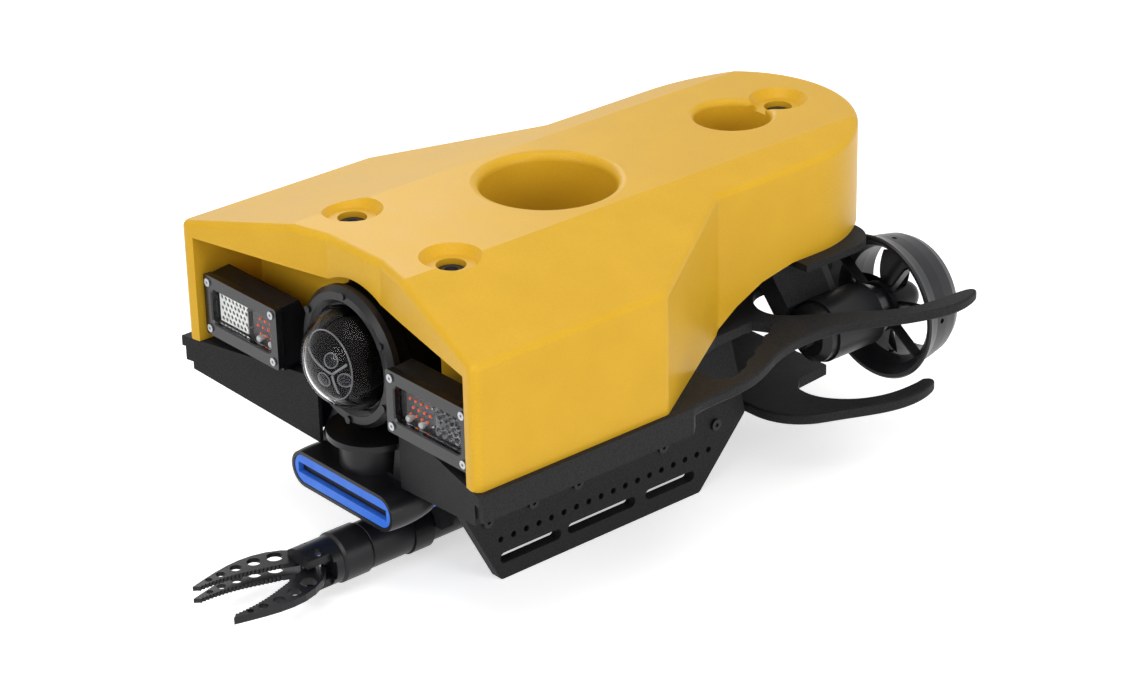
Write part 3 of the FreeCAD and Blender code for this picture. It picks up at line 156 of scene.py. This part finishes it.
# acrylic dome and windows, coated against reflections: the index is set under acrylic's own 1.49 so
# that they mirror little, and walls this thin hardly bend light
acrylic = clear("coated_acrylic", 1.13, 0.02)
# lens glass, coated: nearly black, with a sharp gloss
lens_glass = grained("coated_lens_glass", "06070C", "0A0B14", 0.06, 4.0, bump=0.0, rough_span=0.02,
                     Specular_IOR_Level=0.2)
# vacuum-plated reflector: a mirror that the moulding's ripple breaks up
bright_plating = grained("bright_plating", "3E3F41", "77787A", 0.2, 1.0, bump=0.3, metallic=1.0)
# solder-masked circuit board: dark grey, half matt
board_mask = grained("circuit_board", "3A393D", "4A484D", 0.45, 1.2, bump=0.1, Specular_IOR_Level=0.25)
# ballast dipped in grey plastic: dull, with some metal showing through
lead_weight = grained("coated_ballast", "3A3B3D", "4A4B4D", 0.5, 1.5, bump=0.3, metallic=0.6)
# matt black paint inside the camera bottle, which keeps stray light out
camera_black = grained("camera_black", "030304", "070708", 0.62, 0.8, bump=0.1, Specular_IOR_Level=0.08)
# grey plastic rims and ribs of the camera's front, moulded: satin, pale against the black
camera_grey = grained("satin_grey_moulding", "5C5D60", "737478", 0.4, 0.8, bump=0.1)
# lamp dies under orange silicone: bright, almost without gloss
amber_silicone = grained("amber_silicone", "F0551A", "FF7432", 0.5, 0.7, Specular_IOR_Level=0.1)
# natural nylon pegs, moulded: milky and slightly waxy
pale_nylon = grained("pale_nylon", "A9ABAC", "C9CACB", 0.4, 0.8, bump=0.15)
# black rubber plugs over the float's bolts: dull
black_rubber = grained("black_rubber", "060607", "0E0E0F", 0.6, 0.9, bump=0.2)


def depth_shaded(name, front_mm, dark_mm, pale, dark):
    """A pale colour that turns dark down deep holes as painted shade: colour follows how far back a point
    lies.
    """
    material, out = blank(name)
    place = add(material, "ShaderNodeTexCoord")
    parts = add(material, "ShaderNodeSeparateXYZ", {"Vector": place.outputs["Object"]})
    level = add(material, "ShaderNodeMapRange", {"Value": parts.outputs["Y"]})
    level.inputs["From Min"].default_value = front_mm / 1000
    level.inputs["From Max"].default_value = dark_mm / 1000
    # painted shade: the colour darkens the further back a point lies in a hole
    tone = add(material, "ShaderNodeValToRGB", {"Fac": level.outputs[0]})
    tone.color_ramp.elements[0].color = srgb(pale)
    tone.color_ramp.elements[1].color = srgb(dark)
    shader = add(material, "ShaderNodeBsdfPrincipled", {"Base Color": tone.outputs[0]}, Roughness=0.35)
    material.node_tree.links.new(shader.outputs[0], out.inputs["Surface"])
    return material


# how far the lamp mouldings stand in front of the plain blocks whose place they take
LAMP_FORWARD = 0.0105
cup_face = (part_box("starboard_reflector")[0][1] - LAMP_FORWARD) * 1000
# starboard reflector moulding, glossy outside: its white is a painted reflection of bright light on the
# plated cups, and the black down its lamp holes is painted shade
cups_painted_reflection_and_shade = depth_shaded("cup_moulding_painted_reflection_and_shade", cup_face + 1.0, cup_face + 1.7, "EDEEEC", "101012")

# nodes that aren't named here are cut from the black sheet
FINISHES = {
    "float_block": foam_paint,
    "float_screws": black_anodised,
    "camera_bottle": camera_black, "camera_ring": acetal, "camera_cradle": camera_black,
    "camera_yoke": camera_black,
    "camera_dome": acrylic, "camera_ring_screws": black_anodised,
    "sonar_head": acetal, "sonar_window": acetal, "sonar_face": blue_anodised, "sonar_body": blue_anodised,
    "gripper_barrel": black_anodised, "wrist_collar": black_anodised, "clevis_head": black_anodised,
    "port_jaw": black_anodised, "starboard_jaw": black_anodised,
    "push_rod": stainless, "jaw_pins": stainless,
    "skid_screws": black_anodised, "light_screws": stainless,
    "electronics_can": machined, "can_end_caps": machined, "ballast_bars": lead_weight,
    "vertical_motor": black_anodised, "tether_connector": black_anodised,
}
for side in ("port", "starboard"):
    FINISHES[f"{side}_light_bezel"] = bezel_anodised
    FINISHES[f"{side}_light_housing"] = black_anodised
    FINISHES[f"{side}_light_window"] = acrylic
    FINISHES[f"{side}_nozzle"] = nozzle_polymer
    FINISHES[f"{side}_propeller"] = acetal
    FINISHES[f"{side}_motor_pod"] = black_anodised
    FINISHES[f"{side}_stator"] = acetal


def finish_with(thing, material):
    """Puts one material on an object's own slots, and leaves its mesh as it is."""
    if not thing.material_slots:
        thing.data.materials.append(None)
    for place in thing.material_slots:
        place.link = "OBJECT"
        place.material = material


for name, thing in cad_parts.items():
    finish_with(thing, FINISHES.get(name, polyethylene))


# ---------------------------------------------------------------- shapes

FORWARD = (0, -1, 0)


def grid_faces(rows, columns, wrap=False):
    """Quads of a grid of points held row by row; wrap joins the last column to the first."""
    index = np.arange(rows * columns).reshape(rows, columns)
    if wrap:
        index = np.concatenate([index, index[:, :1]], axis=1)
    corners = [index[:-1, :-1], index[:-1, 1:], index[1:, 1:], index[1:, :-1]]
    return np.stack(corners, axis=-1).reshape(-1, 4)


def square_to(axis):
    """Three unit vectors at right angles, the first along axis."""
    first = np.array(axis, float) / np.linalg.norm(axis)
    helper = np.array((0.0, 0.0, 1.0)) if abs(first[2]) < 0.9 else np.array((1.0, 0.0, 0.0))
    second = np.cross(helper, first)
    second /= np.linalg.norm(second)
    return first, second, np.cross(first, second)


def turned(profile, axis, steps=28):
    """A turned shape round the origin: each (distance along axis, radius) of the profile becomes a circle."""
    along, out_a, out_b = square_to(axis)
    profile = np.array(profile, float)
    turn = np.linspace(0, 2 * np.pi, steps, endpoint=False)
    circle = np.cos(turn)[:, None] * out_a + np.sin(turn)[:, None] * out_b
    points = profile[:, 0, None, None] * along + profile[:, 1, None, None] * circle[None]
    return points.reshape(-1, 3), grid_faces(len(profile), steps, wrap=True)


def repeated(shape, places):
    """One shape copied to every place in a list."""
    points, faces = shape
    places = np.array(places, float)
    moved = (points[None] + places[:, None]).reshape(-1, 3)
    shifts = np.arange(len(places))[:, None, None] * len(points)
    return moved, (faces[None] + shifts).reshape(-1, faces.shape[1])


def piece(name, shapes, material, body, crease=35):
    """One object from several shapes: doubles merged, faces outwards, smooth up to the crease in degrees."""
    points, faces, count = [], [], 0
    for some_points, some_faces in shapes:
        points.append(some_points)
        faces += (some_faces + count).tolist()
        count += len(some_points)
    mesh = bpy.data.meshes.new(name)
    mesh.from_pydata(np.concatenate(points).tolist(), [], faces)
    work = bmesh.new()
    work.from_mesh(mesh)
    bmesh.ops.remove_doubles(work, verts=work.verts, dist=1e-6)
    bmesh.ops.recalc_face_normals(work, faces=work.faces)
    work.to_mesh(mesh)
    work.free()
    mesh.shade_smooth()
    mesh.set_sharp_from_angle(angle=math.radians(crease))
    mesh.materials.append(material)
    made = bpy.data.objects.new(name, mesh)
    scene.collection.objects.link(made)
    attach(made, body)
    return made


# ---------------------------------------------------------------- lamp interiors

# pitch and depth of the cups: large bright ones to port, a fine lattice to starboard that is painted white as
# a reflection of bright light
PLATED_CUPS = (0.0072, 0.0042)
FINE_CUPS = (0.0048, 0.0020)
CUP_GRID = 0.00028
HOLE_RADIUS = 0.0013
HOLE_WALL = 0.0004
LAMP_PITCH = 0.0066
# profiles of the small turned parts, as (distance from the board's face, radius)
LAMP_PROFILE = [(-0.001, 0.0), (-0.001, 0.0011), (0.0012, 0.0011), (0.0016, 0.0008), (0.0018, 0.0)]
PEG_PROFILE = [(-0.001, 0.0), (-0.001, 0.0019), (0.0030, 0.0019), (0.0030, 0.0027), (0.0052, 0.0027),
               (0.0060, 0.0021), (0.0060, 0.0)]
POST_PROFILE = [(-0.004, 0.0), (-0.004, 0.0011), (0.0044, 0.0011), (0.005, 0.0007), (0.005, 0.0)]
# lamps and pegs are placed from the board's edges, posts from its outer end
LAMP_MARGIN = 0.002
PEG_STEPS = (0.0075, 0.0225)
PEG_RISE = 0.002
POST_RISES = (0.006, 0.021)
POST_OUT = 0.0004


def staggered(low, high, pitch):
    """Places in rows a pitch apart, every second row moved half a pitch, as (x, z) inside a face."""
    rows = int((high[2] - low[2]) / (pitch * 0.9))
    found = []
    for row in range(rows):
        z = low[2] + (row + 0.5) * (high[2] - low[2]) / rows
        x = low[0] + pitch * (0.5 + 0.5 * (row % 2))
        while x < high[0] - pitch * 0.35:
            found.append((x, z))
            x += pitch
    return np.array(found)


def cup_block(low, high, pitch, depth):
    """A moulded block whose front is a field of round cups.

    The front's depth at each point is the cup depth times one less the square of the distance to the
    nearest cup's middle over the cup's radius, never under nought. A lamp hole half as deep again sits in
    the middle, and its wall is a smooth step. The outermost points lie on the back, which closes the sides.
    """
    centres = staggered(low, high, pitch)
    across = np.arange(low[0], high[0], CUP_GRID)
    upward = np.arange(low[2], high[2], CUP_GRID)
    x, z = np.meshgrid(across, upward)
    away = np.sqrt(((x[..., None] - centres[:, 0]) ** 2 + (z[..., None] - centres[:, 1]) ** 2).min(axis=-1))
    radius = pitch * 0.48
    deep = depth * np.clip(1 - (away / radius) ** 2, 0, 1)
    hole = np.clip((HOLE_RADIUS - away) / HOLE_WALL + 0.5, 0, 1)
    deep += depth * 0.5 * hole * hole * (3 - 2 * hole)
    front = low[1] + 0.0004 + deep
    border = np.pad(np.zeros_like(front), 1, constant_values=1) > 0
    x, z, front = (np.pad(part, 1, mode="edge") for part in (x, z, front))
    front[border] = high[1]
    points = np.stack([x, front, z], axis=-1)
    rows, columns = front.shape
    faces = grid_faces(rows, columns)
    ends = np.array([0, columns - 1, rows * columns - 1, (rows - 1) * columns])
    return points.reshape(-1, 3), np.concatenate([faces, ends[None, ::-1]])


def slab(low, high):
    """A plain block between two corners."""
    corners = np.array([[(low, high)[i][0], (low, high)[j][1], (low, high)[k][2]]
                        for i in (0, 1) for j in (0, 1) for k in (0, 1)])
    faces = np.array([(0, 1, 3, 2), (4, 6, 7, 5), (0, 4, 5, 1), (2, 3, 7, 6), (0, 2, 6, 4), (1, 5, 7, 3)])
    return corners, faces


def make_lamp_interior(side, sign):
    """Cups, board, orange lamps, two nylon pegs and two bright posts behind one lamp window."""
    low, high = (np.array(corner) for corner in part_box(f"{side}_reflector"))
    low[1] -= LAMP_FORWARD
    cups = cup_block(low, high, *(PLATED_CUPS if sign > 0 else FINE_CUPS))
    # the starboard cups get painted reflection (white) and painted shade (black holes) in place of the
    # plating
    finish = bright_plating if sign > 0 else cups_painted_reflection_and_shade
    block = piece(f"{side}_cup_reflector", [cups], finish, "hull")
    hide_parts(f"{side}_reflector")

    low, high = (np.array(corner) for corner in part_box(f"{side}_led_board"))
    low[1] -= LAMP_FORWARD
    face = low[1]
    board = piece(f"{side}_lamp_board", [slab(low, high)], board_mask, "hull")
    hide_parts(f"{side}_led_board")
    margin = np.array((LAMP_MARGIN, 0, LAMP_MARGIN / 2))
    spots = staggered(low + margin, high - margin, LAMP_PITCH)
    if sign < 0:
        spots[:, 0] = low[0] + high[0] - spots[:, 0]
    lamps = repeated(turned(LAMP_PROFILE, FORWARD, 16), [(x, face, z) for x, z in spots])
    piece(f"{side}_lamp_dies", [lamps], amber_silicone, "hull")

    inner, outer = (low[0], high[0]) if sign > 0 else (high[0], low[0])
    places = [(inner + sign * step, face, low[2] + PEG_RISE) for step in PEG_STEPS]
    pegs = repeated(turned(PEG_PROFILE, FORWARD), places)
    piece(f"{side}_board_pegs", [pegs], pale_nylon, "hull")
    places = [(outer + sign * POST_OUT, face, low[2] + rise) for rise in POST_RISES]
    posts = repeated(turned(POST_PROFILE, FORWARD, 16), places)
    piece(f"{side}_reflector_posts", [posts], stainless, "hull")


for side, sign in (("port", 1), ("starboard", -1)):
    make_lamp_interior(side, sign)


# ---------------------------------------------------------------- camera front

ring_middle = np.mean(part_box("camera_ring"), axis=0)
dome_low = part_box("camera_dome")[0]
DOME_R = 0.041
CAMERA_MIDDLE = np.array((ring_middle[0], dome_low[1] + DOME_R, ring_middle[2]))
FACE_R = 0.0354
FACE_WALL = 0.0012
FACE_EDGE = math.radians(50)
RIM_EDGE = FACE_EDGE - 0.02
RIBS_TO_PORT = math.radians(24)
FIRST_RIB = math.radians(158)
RIB_REACHES = (56, 30, 24)
EYE_OFF = math.radians(17)
EYE_RIM = math.radians(9)
# half width and rise of each kind of rib
FACE_RIM_SIZE = (0.0006, 0.0006)
RIB_SIZE = (0.0009, 0.0008)
EYE_RIM_SIZE = (0.0005, 0.0007)
# profile of an eye, as (distance out of the front, radius)
EYE_PROFILE = [(-0.001, 0.0), (-0.001, 0.0048), (0.0001, 0.0048), (0.0007, 0.0029), (0.0009, 0.0)]


def towards(off_axis, bearing):
    """The unit vector that leaves the ribs' meeting point by one angle, at a bearing from port towards up."""
    out = np.stack([np.sin(off_axis) * np.cos(bearing), -np.cos(off_axis),
                    np.sin(off_axis) * np.sin(bearing)], -1)
    cos, sin = math.cos(RIBS_TO_PORT), math.sin(RIBS_TO_PORT)
    return out @ np.array([(cos, sin, 0), (-sin, cos, 0), (0, 0, 1)])


def rib(directions, half_width, rise, closed=False):
    """A rounded rib on the camera's round front: an ellipse carried along directions from its middle."""
    directions = np.array(directions)
    if closed:
        ahead, behind = np.roll(directions, -1, axis=0), np.roll(directions, 1, axis=0)
    else:
        ahead = np.append(directions[1:], directions[-1:], 0)
        behind = np.append(directions[:1], directions[:-1], 0)
    sideways = np.cross(directions, ahead - behind)
    sideways /= np.linalg.norm(sideways, axis=1)[:, None]
    turn = np.linspace(0, 2 * np.pi, 10, endpoint=False)
    wide, tall = np.full(len(directions), half_width), np.full(len(directions), rise)
    if not closed:
        wide[[0, -1]] = tall[[0, -1]] = 0
    outwards = FACE_R + tall[:, None, None] * np.sin(turn)[None, :, None]
    points = (CAMERA_MIDDLE + directions[:, None] * outwards
              + sideways[:, None] * wide[:, None, None] * np.cos(turn)[None, :, None])
    if closed:
        points = np.concatenate([points, points[:1]])
    return points.reshape(-1, 3), grid_faces(len(points), len(turn), wrap=True)


def round_of(middle_direction, spread, steps=48):
    """Directions on a small circle that stands an angle away from its middle direction."""
    first, second, third = square_to(middle_direction)
    turn = np.linspace(0, 2 * np.pi, steps, endpoint=False)[:, None]
    return math.cos(spread) * first + math.sin(spread) * (np.cos(turn) * second + np.sin(turn) * third)


def make_camera_front():
    """A round black front with three ribs that meet to port of its middle, and three rimmed eyes between."""
    slope = np.linspace(0, FACE_EDGE, 24)
    outside = [(math.cos(a) * FACE_R, math.sin(a) * FACE_R) for a in slope]
    inner_r = FACE_R - FACE_WALL
    inside = [(math.cos(a) * inner_r, math.sin(a) * inner_r) for a in slope[::-1]]
    points, faces = turned(outside + inside, FORWARD, 48)
    points += CAMERA_MIDDLE
    front = piece("camera_front", [(points, faces)], camera_black, "camera_head")
    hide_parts("camera_lens")

    ribs = [rib(round_of(FORWARD, RIM_EDGE, 72), *FACE_RIM_SIZE, closed=True)]
    eyes = []
    for number, reach in enumerate(RIB_REACHES):
        bearing = FIRST_RIB + math.radians(120 * number)
        ribs.append(rib(towards(np.linspace(0, math.radians(reach), 20), bearing), *RIB_SIZE))
        eye = towards(EYE_OFF, bearing + math.radians(60))
        ribs.append(rib(round_of(eye, EYE_RIM), *EYE_RIM_SIZE, closed=True))
        points, faces = turned(EYE_PROFILE, eye)
        eyes.append((points + CAMERA_MIDDLE + eye * FACE_R, faces))
    piece("camera_ribs", ribs, camera_grey, "camera_head")
    piece("camera_eyes", eyes, lens_glass, "camera_head")


make_camera_front()


# ---------------------------------------------------------------- float plugs

WASHER_R = 0.0111
PLUG_PROFILE = [(0, 0.0), (0, 0.0105), (0.0052, 0.0105), (0.0058, 0.0097),
                (0.0060, 0.0052), (0.0040, 0.0046), (0.0040, 0.0)]


def make_float_plugs():
    """Black rubber plugs with a round recess, pressed into the bores over the float's three bolts."""
    low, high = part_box("float_screws")
    places = [(way * (high[0] - WASHER_R), low[1] + WASHER_R, high[2]) for way in (1, -1)]
    places.append((0, high[1] - WASHER_R, high[2]))
    plugs = repeated(turned(PLUG_PROFILE, (0, 0, 1), 36), places)
    piece("float_plugs", [plugs], black_rubber, "hull")


make_float_plugs()


# ---------------------------------------------------------------- studio

def looked_at(tree_owner):
    """A socket that is one for what the camera sees straight on, in a mirror or through a window."""
    path = add(tree_owner, "ShaderNodeLightPath")
    seen = add(tree_owner, "ShaderNodeMath",
               {0: path.outputs["Is Camera Ray"], 1: path.outputs["Is Glossy Ray"]}, operation="MAXIMUM")
    return add(tree_owner, "ShaderNodeMath",
               {0: seen.outputs[0], 1: path.outputs["Is Transmission Ray"]}, operation="MAXIMUM").outputs[0]


def studio_white(name, colour, glow):
    """Pale matt backdrop: the camera, a mirror or a window sees it brightened, and it still takes shade."""
    material, out = blank(name)
    place = add(material, "ShaderNodeTexCoord")
    weave = add(material, "ShaderNodeTexNoise", {"Vector": place.outputs["Object"]}, Scale=3.0)
    tone = add(material, "ShaderNodeValToRGB", {"Fac": weave.outputs[0]})
    tone.color_ramp.elements[0].color = srgb(colour)
    tone.color_ramp.elements[1].color = srgb("FFFFFF")
    matt = add(material, "ShaderNodeBsdfDiffuse", {"Color": tone.outputs[0]})
    level = add(material, "ShaderNodeMath", {0: looked_at(material)}, operation="MULTIPLY")
    level.inputs[1].default_value = glow
    light = add(material, "ShaderNodeEmission", {"Strength": level.outputs[0]})
    both = add(material, "ShaderNodeAddShader", {0: matt.outputs[0], 1: light.outputs[0]})
    material.node_tree.links.new(both.outputs[0], out.inputs["Surface"])
    return material


def make_floor():
    """A flat square of floor, twenty-four metres across, under the vehicle."""
    mesh = bpy.data.meshes.new("studio_floor")
    half = 12.0
    corners = [(-half, -half, 0), (half, -half, 0), (half, half, 0), (-half, half, 0)]
    mesh.from_pydata(corners, [], [(0, 1, 2, 3)])
    floor = bpy.data.objects.new("studio_floor", mesh)
    scene.collection.objects.link(floor)
    mesh.materials.append(studio_white("backdrop_paint", "F4F4F4", 0.55))


make_floor()

world = bpy.data.worlds.new("studio")
scene.world = world
world.use_nodes = True
world.node_tree.nodes.clear()
world_out = add(world, "ShaderNodeOutputWorld")
level = add(world, "ShaderNodeMapRange", {"Value": looked_at(world)})
level.inputs["To Min"].default_value = 0.45
level.inputs["To Max"].default_value = 1.0
sky = add(world, "ShaderNodeBackground", {"Strength": level.outputs[0]}, Color=(1, 1, 1, 1))
world.node_tree.links.new(sky.outputs[0], world_out.inputs["Surface"])


def soft_box(name, place, aim, width, height, power):
    """A rectangular lamp at a place, turned to face a point; sizes in metres, power in watts."""
    lamp = bpy.data.lights.new(name, "AREA")
    lamp.shape = "RECTANGLE"
    lamp.size = width
    lamp.size_y = height
    lamp.energy = power
    holder = bpy.data.objects.new(name, lamp)
    holder.location = place
    holder.rotation_euler = (Vector(aim) - Vector(place)).to_track_quat("-Z", "Y").to_euler()
    scene.collection.objects.link(holder)


MIDDLE = (0, 0, 0.15)
soft_box("top_light", (0.3, -0.3, 2.2), MIDDLE, 1.6, 1.6, 17)
soft_box("nose_light", (0.5, -2.2, 1.1), MIDDLE, 1.2, 1.2, 17)
soft_box("port_light", (2.4, 0.4, 1.0), MIDDLE, 1.2, 1.0, 19)
soft_box("tail_light", (-1.9, 0.9, 1.2), MIDDLE, 1.0, 0.8, 8)

CAMERA_PLACE = Vector((1.79336, -1.48824, 1.26302))
CAMERA_YAW = math.radians(139.567)
CAMERA_DROP = math.radians(25.887)
CAMERA_ROLL = math.radians(-1.193)
lens = bpy.data.cameras.new("view")
lens.sensor_width = 36
lens.lens = 103.67
lens.clip_end = 50
eye = bpy.data.objects.new("view", lens)
forward = Vector((math.cos(CAMERA_DROP) * math.cos(CAMERA_YAW),
                  math.cos(CAMERA_DROP) * math.sin(CAMERA_YAW), -math.sin(CAMERA_DROP)))
right = forward.cross(Vector((0, 0, 1))).normalized()
up = right.cross(forward)
rolled_right = right * math.cos(CAMERA_ROLL) + up * math.sin(CAMERA_ROLL)
rolled_up = -right * math.sin(CAMERA_ROLL) + up * math.cos(CAMERA_ROLL)
turn = Matrix((rolled_right, rolled_up, -forward)).transposed()
eye.matrix_world = Matrix.Translation(CAMERA_PLACE) @ turn.to_4x4()
scene.collection.objects.link(eye)
scene.camera = eye
scene.view_settings.view_transform = "Standard"
